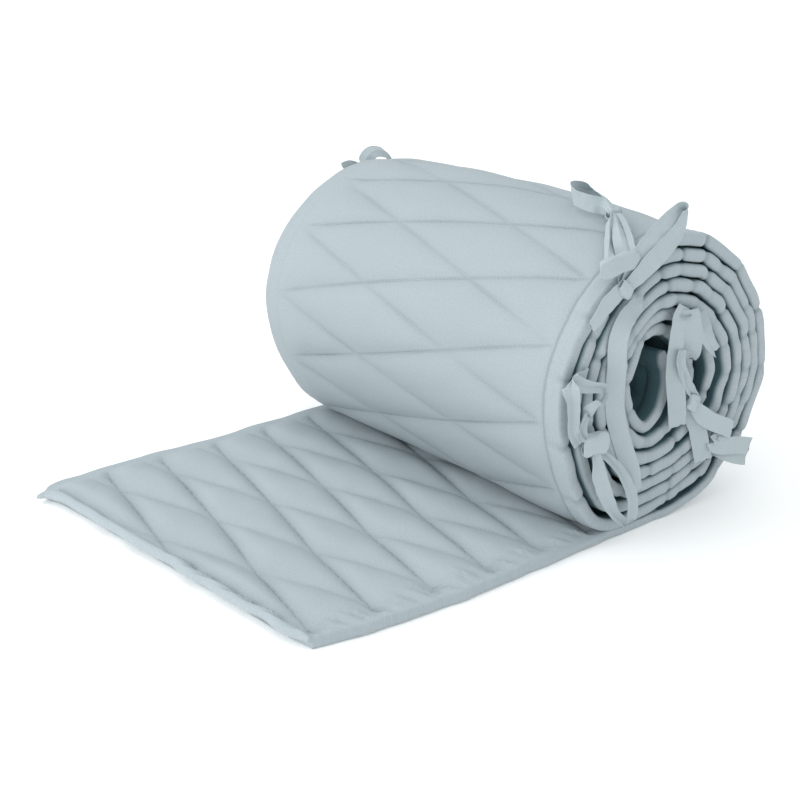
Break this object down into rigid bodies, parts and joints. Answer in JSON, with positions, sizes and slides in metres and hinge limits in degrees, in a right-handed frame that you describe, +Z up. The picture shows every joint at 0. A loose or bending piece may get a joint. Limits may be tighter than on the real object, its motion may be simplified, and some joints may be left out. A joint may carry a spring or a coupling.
{
  "type": "crib bumper",
  "caption": "Padded, diamond-quilted crib bumper, partly rolled up with one end laid out flat, and ribbon ties sewn into both long edges.",
  "frame": {"origin": "on the surface the bumper lies on, under the middle of its whole box", "axes": "+X along the strip from its flat end to the roll, +Y along the roll's axis from the near end to the far end, +Z up"},
  "size_m": [0.3986, 0.331, 0.219],
  "materials": {
    "quilted cotton": "matt, fine woven cotton over thin filling",
    "cotton ribbon": "matt, fine woven cotton"
  },
  "bodies": {
    "root": {"bumper": "quilted cotton", "tie_near_top": "cotton ribbon", "tie_near_left": "cotton ribbon", "tie_near_core": "cotton ribbon", "tie_far_top": "cotton ribbon", "tie_far_left": "cotton ribbon", "tie_far_core": "cotton ribbon"}
  },
  "joints": []
}
